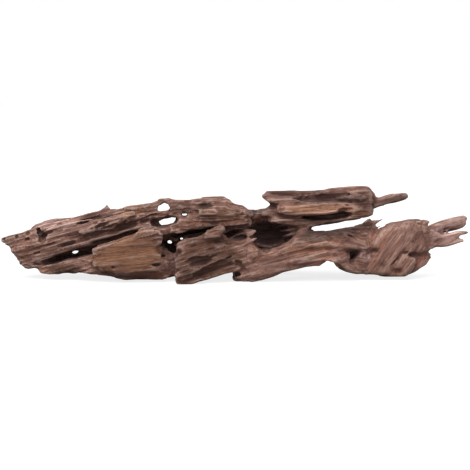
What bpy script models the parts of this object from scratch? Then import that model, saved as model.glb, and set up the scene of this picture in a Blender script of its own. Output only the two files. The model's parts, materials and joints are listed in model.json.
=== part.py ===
"""One piece of honeycomb wood: weathered hardwood driftwood, eaten hollow along its grain.

It lies with its long side across the view. X runs from its left tip to its right tip, Y runs
from the front wall back, and Z is up from the floor. All drawn sizes are in millimetres.
"""

import math

import bmesh
import bpy
import numpy as np
from mathutils import Matrix, Vector, noise
from mathutils.bvhtree import BVHTree

MM = 0.001

# Driving dimensions
LENGTH = 467.0          # tip to tip
DRAWN_LENGTH = 467.0    # the length at which the strands below are drawn
SIGHT_TILT = 8.0        # degrees that the clear holes fall towards the back
SIGHT_FROM = 1110.0     # distance to the point that they fan out from
SECTION_SIDES = 26      # points round a strand
RING_STEP = 3.0         # spacing of the rings along a strand
WOBBLE_RUN = 22.0       # size of the wobbles along the grain
WOBBLE_PITCH = 7.0      # and across it
SEED_STEP = 31.7        # how far apart two seeds sample the noise
SWELL = 0.10            # how far the wobbles swell a section
RISE = 0.4              # share of the swell that goes up and down
CORNER = 0.6            # 1 gives oval sections, and less gives squarer ones
# Strands that are slabs have squarer sections
SQUARER = {"pale_plate": 0.3, "lower_body": 0.45, "plank": 0.35, "ledge": 0.4, "plank_end": 0.35,
           "plank_rim": 0.4, "middle_wall": 0.45, "knot": 0.4, "knot_top": 0.4, "tan_block": 0.35}
VOXEL = 1.3             # the cell that fuses the strands into one skin
TRIANGLES = 11500       # what the finished skin is thinned to
SEED = 7

# Torn ends: notches in each end of a strand
TEETH = 4
LEAST_TORN = 7.0        # an end less high than this tapers instead
TOOTH_LONG = (9.0, 22.5)
TOOTH_DEEP = (0.8, 2.2)                 # shares of the strand's thickness
TOOTH_HIGH = (1.6, 6.0)
TOOTH_SHARE = 0.28      # a tooth is no higher than this share of the end
TOOTH_ROUGH = 0.3

# Gnawed furrows
GROOVES = 200           # furrows gnawed along the grain all over
GROOVE_SIDES = (0, 30, 60, 75, 90, 105, 120, 150, 200, 255, 300)   # degrees round from the top
LEAST_THICK = 9.0       # wood thinner than this gets no furrow
GROOVE_LONG = (16, 62)
GROOVE_HIGH = (2.2, 5.0)
GROOVE_DEEP = (0.5, 0.85)               # shares of the wood's thickness
DEEPEST_WOOD = 18.0     # thickness from which a furrow gets no deeper
STEEPEST_END = 0.6      # how far a face may look to the left or right and still get a furrow
GROOVE_ROUGH = 0.4
# Smoother faces without furrows: between two x, in front of a y
SMOOTH_FACES = {"pale_plate": (90, 168, -22), "right_limb": (246, 320, -20), "knot": (372, 432, -8)}

# Hollows
STRAY_SPACING = 14.0    # one slimmer spindle for each such length of a hollow
STRAY_REACH = (0.3, 0.1, 0.38)          # how far off a stray lies, in shares of the hollow's size
STRAY_SIZE = ((0.3, 0.55), (0.6, 1.0), (0.3, 0.55))
HOLLOW_ROUGH = 0.35
WINDOW_ROUGH = 0.12
WINDOW_DEPTH = 220.0
RELAX_ROUNDS = 25

# Grain relief
RIB_HEIGHT = 3.0        # how far a rib stands over the furrow beside it
# Sizes of the ribs along, across and through the grain, and their strength
BROAD_RIBS = (85.0, 7.0, 8.4, 1.7)
FINE_RIBS = (38.0, 3.5, 5.0, 0.7)
KNOT_RIBS = (60.0, 6.0, 14.0, 1.2)
WARP = (40.0, 30.0, 30.0, 3.0)          # how the ribs wander: its size each way, and how far
# Heights of a low and of a high grain line at stations along X
GRAIN_X = (0, 90, 160, 225, 300, 345, 420, 470)
LOW_GRAIN = (0, 22, 26, 42, 50, 60, 52, 62)
HIGH_GRAIN = (0, 22, 36, 40, 42, 44, 54, 66)
LOW_HEIGHT, HIGH_HEIGHT = 30.0, 55.0    # where each of the two lines rules
KNOT = (394.0, 30.0, 34.0, 40.0)        # middle x and z of the knot, and its half length and height
KNOT_CLIMB = math.radians(55)           # the knot's grain runs steeply up to the right
KNOT_EDGE = 1.6         # how sharply the knot's grain gives way to the rest
GRAIN_REACH = 8.0       # half the length over which the climb of the grain is measured

FLOOR = 1.0             # the lowest points are worn down to this level, as flat spots to rest on

WOOD_COLOUR = (0.235, 0.135, 0.095, 1.0)

# A strand is a run of wood along the grain. Each row is x, lowest z, highest z, front y and back y.
# The first number is its lean: how far its top stands behind its middle, for each mm of height.
STRANDS = {
    # left end: a broad ribbed wall that rises to the right
    "left_wall": (0.10, [
        (2, 37.5, 41.5, -2, 5), (8, 36, 44, -7, 8), (13, 29, 45, -9, 9), (21, 17, 46, -11, 10),
        (27, 11.5, 50, -12, 10), (40, 12, 56.5, -14, 11), (48, 17, 58.5, -15, 12),
        (62, 25, 59.5, -16, 13), (75, 30, 62, -16, 14), (92, 34, 65, -16, 15),
        (120, 42, 68, -15, 15), (140, 49, 69, -13, 14), (153, 53, 66, -10, 12)]),
    "left_crest": (0.0, [
        (76, 56, 61, -6, 3), (87, 60, 67.5, -7, 4), (102, 63.5, 71, -6, 4), (107, 67, 74, -5, 3),
        (110, 71, 75, -4, 2)]),
    "tan_rib": (0.2, [
        (62, 38, 43, -17, -8), (80, 44, 52, -20, -8), (100, 52, 60.5, -21, -8),
        (118, 58, 67, -20, -7), (128, 62, 70.5, -18, -6), (137, 67, 72, -14, -6)]),
    # lower left body, and the pale plate that lies over it
    "lower_body": (0.0, [
        (40, 9, 11.8, -13, -5), (47, 8, 16.5, -15, -2), (56, 6, 19.5, -16, 0),
        (66, 6.5, 21, -17, 3), (75, 6.5, 22, -19, 4), (82, 8.5, 23.5, -21, 5),
        (95, 7.5, 27, -26, 7), (110, 5.7, 30, -29, 9), (118, 3, 32, -30, 10),
        (126, 2, 33, -31, 10), (140, 3, 35, -31, 10), (160, 3, 34, -30, 9),
        (166, 1.5, 31, -28, 8), (172, 4, 27, -25, 6), (184, 6, 24, -22, 4)]),
    "pale_plate": (0.06, [
        (96, 19, 36.5, -30, -20), (98, 17, 38.5, -31, -19), (106, 13, 41.5, -32, -16),
        (118, 9, 45, -33, -15), (130, 8, 48, -33, -15), (140, 8, 51.5, -33, -15),
        (147, 9, 54.5, -33, -16), (158, 14, 54.5, -32, -17), (161, 20, 53, -32, -17),
        (164.5, 23, 50, -31, -18)]),
    "left_foot": (0.0, [
        (106, 5, 15, 2, 14), (118, -0.5, 16, 1, 22), (138, -0.5, 16, 1, 22), (150, 4, 14, 2, 16)]),
    # middle: the front wall under the long hollow
    "middle_wall": (0.15, [
        (177, 3, 34, -35, -19), (179.5, -0.5, 41, -36, -18), (184, -0.5, 43.5, -37, -16),
        (192, 0, 46, -37, -16), (205, 4, 49.5, -37, -17), (214, 6.7, 52, -36, -18),
        (219, 8, 54, -35, -18), (223, 9, 54, -34, -18), (226, 10, 47.5, -33, -17),
        (230, 10.5, 41.5, -33, -15), (240, 13, 42, -32, -13), (250, 15, 44, -31, -12),
        (258, 17, 40, -29, -10)]),
    "wall_spike": (0.0, [
        (206, 44, 51, -37, -26), (216, 47, 55, -37, -26), (222, 49, 58, -37, -27),
        (225.5, 52.5, 57, -36, -29)]),
    "inner_strand": (0.1, [
        (224, 32, 39, -12, 0), (236, 35, 46, -13, 1), (246, 36, 50.5, -13, 2),
        (256, 38, 50, -12, 2), (258.5, 40, 47, -10, 0)]),
    # right limb, from its rounded nose to the knot
    "right_limb": (0.12, [
        (233.5, 3, 9.5, -22, -10), (236, 1.5, 13.5, -25, -6), (241, 0.5, 19, -27, -3),
        (250, 0.5, 31.5, -28, 0), (257, 1.5, 34, -28, 0), (264, 2.5, 32.5, -28, -1),
        (274, 5.5, 34.5, -28, -2), (284, 9.5, 39.5, -28, -3), (295, 12, 45, -27, -3),
        (305, 13.5, 47.5, -26, -2), (320, 14.5, 49, -24, 0), (324, 19, 49, -23, 1),
        (328, 21.5, 49.5, -22, 2), (333, 19.5, 49.5, -21, 3), (337, 13.5, 49.5, -20, 5),
        (346, 9.5, 49.5, -18, 8), (362, 9, 49, -15, 10), (368, 7, 48.5, -14, 10)]),
    "limb_arch": (0.1, [
        (280, 15, 20, -29, -14), (295, 17.5, 28, -31, -14), (312, 21, 33, -31, -13),
        (325, 22.5, 34.5, -30, -11), (336, 18.5, 34, -28, -8), (345, 11, 30, -25, -5),
        (352, 8, 22, -22, -3), (360, 7.5, 17, -20, 0)]),
    "limb_top": (0.1, [
        (286, 38.5, 41.5, -27, -14), (300, 37, 46, -29, -12), (315, 36, 48.5, -29, -10),
        (335, 34.5, 47.5, -27, -8), (350, 33.5, 46, -24, -5), (362, 33, 42, -23, -4),
        (368, 33.5, 37, -22, -8)]),
    "chip": (0.0, [
        (342, 44, 49.5, -23, -6), (352, 41, 47.5, -24, -8), (359, 39, 43, -23, -10)]),
    "knot": (0.1, [
        (352, 9.5, 47.5, -16, 12), (366, 6, 47.5, -17, 14), (374, 6.5, 47.5, -18, 15),
        (383, 4.5, 51.5, -18, 16), (390, 4, 55, -18, 16), (397, 3.5, 57, -18, 16),
        (409, 5, 59, -17, 14),
        (414, 14, 59.5, -15, 11)]),
    "knot_top": (0.1, [
        (405, 26, 59.5, -15, 8), (418, 27, 60, -14, 6), (425, 29, 56.5, -12, 5),
        (428, 30.5, 52, -10, 5), (434, 34, 48.5, -8, 4), (438, 36, 46.5, -6, 3)]),
    "knot_hook": (0.0, [
        (408, 52, 60, -11, 0), (424, 55, 60.7, -9, -1), (430.5, 57, 59, -7, -3)]),
    "knot_lobe": (0.1, [
        (380, 6, 28, -12, 12), (400, 4, 27.5, -13, 12), (409, 4.5, 27, -12, 11),
        (418, 9, 26.5, -11, 9), (424, 13.5, 26.5, -9, 7), (429, 18.5, 27, -7, 5),
        (432, 22, 26, -5, 2)]),
    "right_foot": (0.0, [
        (376, 4, 14, 2, 18), (386, -0.5, 14, 2, 23), (406, -0.5, 14, 2, 22), (416, 6, 14, 3, 14)]),
    # fingers at the right end
    "big_finger": (0.0, [
        (421, 43, 50, 1, 10), (430, 41.5, 53, 1, 13), (438, 41.5, 56.4, 1, 14),
        (450, 44.4, 59.6, 2, 14), (460, 47.6, 61.6, 3, 14), (467, 50.4, 62.4, 4, 13),
        (469.5, 54.5, 61, 6, 11)]),
    "thin_finger": (0.0, [
        (428, 33, 44, -7, 4), (440, 36, 44.4, -6, 3), (450, 40.7, 46.2, -5, 2),
        (457, 43.8, 48.2, -5, 1), (463, 45, 48.7, -4, 1), (469.5, 45.8, 48.2, -3, 0)]),
    "short_finger": (0.0, [
        (422, 28.7, 40, -8, 4), (435, 34, 41.7, -7, 3), (446, 34.4, 41.7, -6, 3),
        (453, 36.4, 40.8, -5, 2), (458, 37.6, 40.6, -4, 1), (464, 38.8, 40.4, -3, 0)]),
    # upper middle: the humped back of the piece
    "hump": (0.18, [
        (171, 38, 79, -11, 12), (180, 38.5, 79, -15, 14), (197, 40, 79.5, -17, 15),
        (213, 43, 80.5, -17, 15), (225, 47, 79.5, -16, 15), (231, 49.4, 77.5, -15, 15),
        (243, 52, 73, -13, 14), (250, 54, 70, -11, 13), (253, 56, 67, -9, 12)]),
    "hump_root": (0.0, [
        (150, 47, 55, -6, 10), (160, 39.5, 53, -9, 12), (168, 38, 53.5, -10, 12),
        (178, 37, 57, -11, 13)]),
    "top_rail": (0.0, [
        (106, 64, 69.5, -6, 5), (122, 66, 72.4, -7, 6), (143, 64, 74.4, -7, 6),
        (153, 66, 76.6, -7, 5), (157, 68, 78.5, -6, 5), (161, 75, 80.2, -6, 4), (168, 76, 82, -6, 4),
        (175, 72, 79.4, -7, 5), (186, 71, 79.6, -8, 6)]),
    "bar": (0.0, [
        (136, 58, 67, -10, 4), (150, 60, 68, -9, 3), (160, 61.7, 68.7, -8, 2),
        (170, 63, 69, -8, 2), (180, 63, 70, -9, 3)]),
    "hump_crest": (0.0, [
        (192, 75, 80.5, -8, 5), (203, 75.5, 82, -9, 6), (213, 76, 83.2, -9, 6),
        (225, 76, 83.5, -8, 6), (232, 75.5, 78, -6, 4)]),
    "tan_block": (0.0, [
        (200.5, 64, 73, -20, -8), (208, 64, 73.5, -21, -8), (217, 64.5, 73.5, -20, -8)]),
    "scab": (0.15, [
        (214, 61, 75, -18, -6), (230, 60, 74.5, -18, -5), (246, 58.5, 69.5, -15, -4)]),
    "hump_rib": (0.0, [
        (184, 50, 57, -17, -7), (200, 50.5, 61, -20, -7), (220, 52.5, 62, -20, -7),
        (240, 55, 62, -17, -6), (249, 56.5, 60.5, -13, -5)]),
    # the bridge to the upper right plank
    "hollow_back": (-0.1, [
        (238, 36, 60, 17, 30), (255, 36, 62, 19, 32), (280, 36, 63, 19, 32), (300, 36, 60, 17, 30),
        (316, 36, 50, 14, 27)]),
    "bridge": (0.0, [
        (240, 54, 66, 0, 13), (252, 54, 66, 1, 14), (259, 56, 66, 1, 15), (266, 57, 70.4, 1, 16),
        (275, 58, 73, 1, 17), (288, 59, 74, 1, 17)]),
    "plank": (0.0, [
        (261, 80, 81.8, 5, 9), (265, 78, 85, 5, 12), (270, 76, 86.4, 5, 14), (280, 73, 86.2, 4, 15),
        (312, 71, 86.2, 5, 16), (328, 70, 89, 5, 16), (353, 69, 92.6, 4, 15),
        (369, 68, 92.7, 3, 14), (372.5, 70, 89.5, 3, 12), (374.5, 74, 83, 4, 10)]),
    "plank_rim": (0.0, [
        (262, 82, 86, 4, 11), (268, 82.5, 87.4, 3, 13), (292, 83, 87.6, 3, 14),
        (312, 83, 87.8, 4, 14), (330, 84.5, 90, 4, 14)]),
    "ledge": (0.0, [
        (276, 68, 74, -6, 8), (285, 65.5, 76.6, -9, 9), (300, 65, 76.3, -10, 9),
        (320, 66.5, 77.3, -10, 9), (340, 68, 77.3, -9, 9), (353, 68, 76.3, -8, 8),
        (362, 69, 75, -5, 8)]),
    "small_ledge": (0.0, [
        (266, 76, 80, 0, 8), (272, 76, 81.4, -4, 8), (290, 76, 81.6, -5, 8),
        (302, 76.4, 80.4, -4, 7), (310, 77, 78.6, -2, 6)]),
    "plank_end": (0.0, [
        (348, 66, 88, -2, 13), (360, 62, 91, -4, 14), (369, 63.5, 92, -4, 13),
        (373, 66, 88, -2, 11)]),
    "lower_lip": (0.0, [
        (264, 57.4, 64, -2, 12), (285, 54.3, 62, -5, 13), (300, 51, 61.5, -6, 13),
        (308, 50, 60.5, -6, 13), (313, 52.3, 60, -5, 12), (330, 55.5, 61, -4, 11),
        (345, 57.3, 62.3, -4, 10), (358, 60.5, 66, -4, 10), (367, 64, 68, -2, 9)]),
    "lip_spike": (0.0, [(358, 62.5, 67, 0, 7), (372.5, 65, 66.4, 1, 4)]),
    "top_finger": (0.0, [
        (362, 65.5, 80, 3, 13), (376, 69.6, 80.4, 3, 13), (386, 72.9, 82.6, 3, 13),
        (396, 75.7, 84.4, 3, 12), (405, 78.4, 85.4, 4, 12), (409.5, 80.4, 85, 5, 10)]),
    # thin blade behind the right limb, with its two splinters
    "blade": (0.0, [
        (296, 42, 49, -8, 4), (310, 43, 49.6, -8, 5), (323, 43, 50.2, -7, 5),
        (347, 44, 52.8, -5, 5), (361, 46, 56.4, -3, 5), (367, 49, 58.9, -2, 4),
        (370.5, 55, 60.6, -1, 3)]),
    "splinter_long": (0.0, [
        (358, 49, 56, -2, 4), (371, 53, 58.4, -2, 4), (377, 55.6, 59.8, -2, 3.5),
        (383.5, 57.6, 60.1, -1, 3)]),
    "splinter_low": (0.0, [
        (358, 47, 51.5, -5, 2), (370, 49, 53.4, -6, -1), (378.5, 51.6, 54.6, -5, -1.5)]),
    # the back wall, which closes the hollow behind
    "back_left": (-0.15, [
        (24, 20, 38, 2, 12), (40, 14, 44, 4, 17), (62, 9, 47, 6, 21), (100, 7, 52, 8, 26),
        (140, 8, 57, 10, 29), (176, 9, 58, 11, 31), (190, 12, 52, 12, 30)]),
    "back_right": (-0.2, [
        (168, 9, 46, 12, 31), (190, 5, 50, 12, 34), (220, 2, 49, 13, 36), (240, -0.5, 46, 13, 37),
        (264, -0.5, 43, 12, 37), (286, 5, 40, 11, 36), (302, 8.5, 39, 10, 35), (322, 12, 38, 9, 33),
        (340, 12, 37, 8, 31), (360, 6, 38, 7, 29), (380, 5, 38, 6, 27), (410, 11, 36, 4, 20),
        (422, 19, 32, 3, 13)]),
    "back_hump": (0.0, [
        (132, 52, 64, 4, 18), (160, 54, 60, 4, 20), (178, 50, 66, 6, 23), (200, 48, 72, 8, 26),
        (224, 48, 72, 9, 27),
        (250, 50, 68, 9, 26), (276, 56, 70, 9, 24), (292, 62, 70, 10, 21)]),
    "back_plank": (0.0, [
        (270, 58, 76, 10, 21), (300, 56.5, 80, 10, 24), (335, 58.5, 82, 10, 24), (354, 62, 82, 9, 20),
        (367, 72, 80, 8, 16)]),
}

# A hollow is a ragged spindle cut along the grain: middle x, y, z, its length, depth and
# height, and the angle that it climbs to the right.
HOLLOWS = {
    "left_crevice": (70, -12, 26, 60, 38, 9, 17),
    "plate_crevice": (118, -17, 44.5, 62, 34, 4.6, 15.5),
    "left_pit": (42.5, -16, 48, 10, 20, 14, -15),
    "tip_pit_a": (16, -9, 46.5, 5, 12, 4, 10),
    "tip_pit_b": (26.5, -12, 43, 8, 12, 3.5, 5),
    "wall_slot_a": (105, -19, 56.5, 26, 14, 4, 19),
    "wall_slot_b": (84, -16, 58.5, 20, 12, 3.5, 12),
    "wall_slot_c": (66, -17, 37, 22, 12, 3.5, 16),
    "wall_slot_d": (62, -15, 57, 14, 10, 3, 14),
    "rail_gap": (118, -8, 69.5, 17, 16, 4, 8),
    "wall_slot_e": (128, -14, 55, 30, 14, 4, 17),
    "plate_recess": (171, -26, 33, 15, 26, 22, 0),
    "plate_slot_a": (161, -28, 18.5, 19, 14, 3.6, 0),
    "plate_slot_b": (155, -29, 24, 14, 10, 2.6, 8),
    "plate_pit": (114, -28, 15.5, 8, 12, 3, 0),
    "long_hollow": (196, -12, 46, 86, 24, 11, 9),
    "middle_oval": (202, -37, 22.5, 27, 16, 8.5, 12),
    "middle_trough": (216, -36, 15.5, 46, 16, 9, 17),
    "middle_dent": (192, -39, 38, 10, 6, 3, 10),
    "notch": (238, -25, 47.5, 32, 34, 15, 6),
    "torn_pit_a": (229, -34, 21, 12, 14, 4, 25),
    "torn_pit_b": (238.5, -31, 20.5, 9, 14, 4, 10),
    "torn_pit_c": (243, -30, 15, 7, 14, 7, 40),
    "great_hollow": (272, -14, 43.5, 43, 52, 25, 2),
    "great_hollow_right": (290, -16, 48, 34, 30, 9, 22),
    "limb_furrow_b": (300, -29, 33, 26, 7, 2.5, 10),
    "limb_furrow_c": (292, -29, 19, 36, 7, 2.5, 12),
    "knot_hole": (353, -20, 26.5, 16, 18, 6.5, 62),
    "limb_split": (331, -29, 34.5, 34, 14, 2.6, 2),
    "chip_shadow": (350, -24, 45.2, 16, 14, 2.6, -28),
    "knot_wedge": (372, -20, 29.5, 14, 18, 9, 10),
    "knot_groove": (397, -19, 25, 32, 14, 4.5, 54),
    "knot_groove_b": (384.5, -19, 36, 16, 6, 3, 58),
    "knot_groove_c": (414, -16, 45, 22, 7, 3, 50),
    "knot_seam": (413, -15, 26.5, 25, 16, 3.6, -6),
    "knot_foot_slot": (395, -18, 11, 15, 12, 4, 0),
    "knot_pits": (381, -19, 17, 8, 10, 5, 60),
    "plank_trough": (328, 2, 80.2, 80, 13, 8.5, 2),
    "ledge_crevice": (322, -8, 64.2, 80, 28, 5, 4),
    "ledge_groove": (345, -10, 74, 24, 6, 2.4, 0),
    "ledge_shadow": (291, -7, 76.2, 22, 16, 2.8, 0),
    "bridge_pocket": (262, -2, 60, 26, 16, 9, 12),
    "lip_step": (282, -8, 58, 26, 12, 4, 0),
    "blade_gap": (334, -9, 51, 60, 10, 4, 4),
    "hump_dent": (193, -18, 67, 13, 16, 8, 0),
    "hump_slot": (206, -14, 75.5, 20, 14, 4, 2),
    "hump_shadow_a": (226, -19, 70, 14, 10, 3, -8),
    "hump_shadow_b": (238, -17, 66, 14, 12, 3, 4),
    # the back
    "back_slot_a": (70, 20, 30, 46, 18, 7, 12),
    "back_slot_b": (120, 27, 40, 50, 20, 6, 9),
    "back_slot_c": (150, 28, 22, 60, 20, 9, 5),
    "back_cave": (232, 34, 24, 70, 34, 17, 4),
    "back_slot_d": (300, 34, 28, 50, 20, 7, -4),
    "back_slot_e": (352, 29, 22, 44, 20, 8, -6),
    "back_slot_f": (215, 26, 60, 54, 16, 7, 3),
    "back_slot_g": (318, 24, 72, 60, 16, 6, 5),
    "back_slot_h": (396, 22, 27, 30, 16, 6, 12),
}

# Clear holes that show light through the piece: x, z at y = 0, width, height and climb.
WINDOWS = {
    "arch": (329.5, 8, 15, 22, -8),
    "gap_under_plank": (337, 54.2, 58, 5.2, 9),
    "window_low_left": (75.2, 26.6, 6.5, 5, 10),
    "window_top": (163.5, 72.2, 10, 7, -10),
    "window_top_peak": (165.5, 75, 5, 5, 0),
    "window_long": (168, 58.7, 19, 7.4, 8),
    "window_slit": (185, 65, 7.5, 4.4, 5),
    "window_deep_a": (181.6, 41.3, 7, 4.6, 15),
    "window_deep_b": (169.7, 37.2, 7.5, 6, -25),
}


def wobble(x, y, z, seed):
    """Smooth noise from -1 to 1, drawn out along the grain, and another one for each seed."""
    return noise.noise(Vector((x / WOBBLE_RUN, y / WOBBLE_PITCH, z / WOBBLE_PITCH + SEED_STEP * seed)))


def mesh_object(name, bm, collection):
    """A mesh object from a bmesh, with its faces pointing out."""
    bmesh.ops.recalc_face_normals(bm, faces=bm.faces)
    mesh = bpy.data.meshes.new(name)
    bm.to_mesh(mesh)
    bm.free()
    made = bpy.data.objects.new(name, mesh)
    made.display_type = "WIRE"
    made.hide_render = True
    collection.objects.link(made)
    return made


def section(table, x):
    """Lowest z, highest z, front y and back y of a strand at x."""
    return tuple(float(np.interp(x, table[:, 0], table[:, k])) for k in range(1, 5))


def loft(name, lean, table, seed, collection):
    """A closed loft along X through unlike squarish sections."""
    first, last = table[0, 0], table[-1, 0]
    corner = SQUARER.get(name, CORNER)
    count = max(4, round((last - first) / RING_STEP))
    bm = bmesh.new()
    rings = []
    for step in range(count + 1):
        x = first + (last - first) * step / count
        low, high, front, back = section(table, x)
        ring = []
        for side in range(SECTION_SIDES):
            angle = 2 * math.pi * side / SECTION_SIDES
            c, s = math.cos(angle), math.sin(angle)
            y = (back - front) / 2 * math.copysign(abs(c) ** corner, c)
            z = (high - low) / 2 * math.copysign(abs(s) ** corner, s)
            swell = SWELL * wobble(x, y, z, seed)
            y, z = y * (1 + swell), z * (1 + RISE * swell)
            ring.append(bm.verts.new((x, (front + back) / 2 + y + lean * z, (low + high) / 2 + z)))
        rings.append(ring)
    for near, far in zip(rings, rings[1:]):
        for i in range(SECTION_SIDES):
            j = (i + 1) % SECTION_SIDES
            bm.faces.new((near[i], near[j], far[j], far[i]))
    bm.faces.new(rings[0])
    bm.faces.new(rings[-1])
    return mesh_object(name, bm, collection)


def spindle(name, size, placement, rough, seed, collection):
    """A ragged ball stretched to size, for cutting."""
    bm = bmesh.new()
    bmesh.ops.create_icosphere(bm, subdivisions=3, radius=0.5)
    for vert in bm.verts:
        x, y, z = (vert.co[k] * size[k] for k in range(3))
        bump = 1 + rough * wobble(x * 2.5, y * 1.5, z * 1.5, seed)
        vert.co = placement @ Vector((x * (0.7 + 0.3 * bump), y, z * bump))
    return mesh_object(name, bm, collection)


def climbing(x, y, z, angle):
    """A frame at a point, with its X axis raised by an angle."""
    return Matrix.Translation((x, y, z)) @ Matrix.Rotation(-angle, 4, "Y")


def strand(name, lean, rows, seed, collection, bites):
    """A strand with notches torn into its thick ends."""
    table = np.array(rows, float)
    made = loft(name, lean, table, seed, collection)
    draw = np.random.default_rng(SEED + seed)
    for end, inner in ((0, 1), (-1, -2)):
        low, high, front, back = table[end, 1:]
        if high - low < LEAST_TORN:
            continue
        run = table[inner, 0] - table[end, 0]
        climb = math.atan2((table[inner, 1:3].mean() - table[end, 1:3].mean()) * np.sign(run), abs(run))
        for _ in range(TEETH):
            share = draw.uniform(0.05, 0.95)
            highest = min(TOOTH_HIGH[1], TOOTH_SHARE * (high - low))
            size = (draw.uniform(*TOOTH_LONG), (back - front) * draw.uniform(*TOOTH_DEEP),
                    draw.uniform(TOOTH_HIGH[0], highest))
            place = climbing(table[end, 0], draw.choice((front, back)), low + share * (high - low), climb)
            spindle("tooth", size, place, TOOTH_ROUGH, draw.integers(99), bites)
    if bites.objects:
        boolean(made, "DIFFERENCE", bites)


def hollow(name, row, seed, collection):
    """A ragged hollow: one spindle, and slimmer ones about it where it is long."""
    x, y, z, *size, climb = row
    place = climbing(x, y, z, math.radians(climb))
    spindle(name, size, place, HOLLOW_ROUGH, seed, collection)
    draw = np.random.default_rng(SEED + seed)
    for _ in range(round(size[0] / STRAY_SPACING)):
        offset = Vector(draw.uniform(-reach, reach) * full for reach, full in zip(STRAY_REACH, size))
        slim = [draw.uniform(*share) * full for share, full in zip(STRAY_SIZE, size)]
        stray = place @ Matrix.Translation(offset)
        spindle(name, slim, stray, HOLLOW_ROUGH, draw.integers(99), collection)


def window(name, row, seed, collection):
    """A clear hole from front to back along the sight line."""
    x, z, width, height, climb = row
    fan = Matrix.Rotation(-math.atan2(x - DRAWN_LENGTH / 2, SIGHT_FROM), 4, "Z")
    tilt = Matrix.Rotation(-math.radians(SIGHT_TILT), 4, "X")
    turn = Matrix.Rotation(-math.radians(climb), 4, "Y")
    place = Matrix.Translation((x, 0, z)) @ fan @ tilt @ turn
    spindle(name, (width + VOXEL, WINDOW_DEPTH, height + VOXEL), place, WINDOW_ROUGH, seed, collection)


def knot_share(x, z):
    """1 well inside the knot, and 0 outside it."""
    near = 1 - ((x - KNOT[0]) / KNOT[2]) ** 2 - ((z - KNOT[1]) / KNOT[3]) ** 2
    return min(1.0, max(0.0, KNOT_EDGE * near))


def grain_line(x, z):
    """Height at x of the grain line that rules at height z."""
    share = min(1.0, max(0.0, (z - LOW_HEIGHT) / (HIGH_HEIGHT - LOW_HEIGHT)))
    low, high = np.interp(x, GRAIN_X, LOW_GRAIN), np.interp(x, GRAIN_X, HIGH_GRAIN)
    return float(low * (1 - share) + high * share)


def grain_climb(x, z):
    """Angle that the grain climbs to the right."""
    rise = grain_line(x + GRAIN_REACH, z) - grain_line(x - GRAIN_REACH, z)
    angle = math.atan2(rise, 2 * GRAIN_REACH)
    share = knot_share(x, z)
    return angle * (1 - share) + KNOT_CLIMB * share


def waves(sizes, along, across, through):
    """Noise drawn out along the grain: its size along, across and through, and its strength."""
    spot = Vector((along / sizes[0], across / sizes[1], through / sizes[2]))
    return sizes[3] * noise.noise(spot)


def rib(x, y, z):
    """Relief of the grain at a point, from about -1 in a furrow to 1 on a rib."""
    across = z - grain_line(x, z) + waves(WARP, x, y, z)
    straight = waves(BROAD_RIBS, x, across, y) + waves(FINE_RIBS, x, across, y)
    right, up = x - KNOT[0], z - KNOT[1]
    c, s = math.cos(KNOT_CLIMB), math.sin(KNOT_CLIMB)
    steep = waves(KNOT_RIBS, right * c + up * s, up * c - right * s, y)
    share = knot_share(x, z)
    return straight * (1 - share) + steep * share


def raise_grain(mesh):
    """Moves the skin in or out by the relief of the grain."""
    normals = [v.normal.copy() for v in mesh.vertices]
    for vert, normal in zip(mesh.vertices, normals):
        vert.co += normal * (RIB_HEIGHT / 2) * rib(*vert.co)


def gnaw(obj, collection):
    """Furrows along the grain, set by a seeded draw where a ray meets thick wood."""
    tree = BVHTree.FromObject(obj, bpy.context.evaluated_depsgraph_get())
    draw = np.random.default_rng(SEED)
    made = 0
    while made < GROOVES:
        x, z = draw.uniform(8, DRAWN_LENGTH - 10), draw.uniform(5, 88)
        turn = math.radians(draw.choice(GROOVE_SIDES))
        ray = Vector((0, math.sin(turn), math.cos(turn)))
        target = Vector((x, draw.uniform(-25, 30), z))
        spot, normal, _, _ = tree.ray_cast(target + 200 * ray, -ray)
        if spot is None or abs(normal.x) > STEEPEST_END:
            continue
        if any(left < spot.x < right and spot.y < front for left, right, front in SMOOTH_FACES.values()):
            continue
        _, _, _, thick = tree.ray_cast(spot - 0.5 * normal, -normal)
        if thick is None or thick < LEAST_THICK:
            continue
        climb = grain_climb(spot.x, spot.z)
        along = Vector((math.cos(climb), 0, math.sin(climb)))
        along = (along - normal * along.dot(normal)).normalized()
        across = along.cross(normal)
        place = Matrix((along, normal, across)).transposed().to_4x4()
        place.translation = spot
        deep = draw.uniform(*GROOVE_DEEP) * min(thick, DEEPEST_WOOD)
        size = (draw.uniform(*GROOVE_LONG), deep, draw.uniform(*GROOVE_HIGH))
        spindle("groove", size, place, GROOVE_ROUGH, made, collection)
        made += 1


def bake(obj):
    """Applies an object's modifiers to its mesh."""
    graph = bpy.context.evaluated_depsgraph_get()
    mesh = bpy.data.meshes.new_from_object(obj.evaluated_get(graph))
    obj.modifiers.clear()
    obj.data = mesh


def boolean(obj, operation, collection):
    """Joins or cuts by all the objects of a collection, and then removes them."""
    cut = obj.modifiers.new(operation.lower(), "BOOLEAN")
    cut.operation = operation
    cut.operand_type = "COLLECTION"
    cut.collection = collection
    cut.solver = "MANIFOLD"
    bake(obj)
    for helper in list(collection.objects):
        bpy.data.objects.remove(helper)


def fuse(obj):
    """One even skin over everything, without inner walls."""
    skin = obj.modifiers.new("skin", "REMESH")
    skin.mode = "VOXEL"
    skin.voxel_size = VOXEL
    bake(obj)


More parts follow.
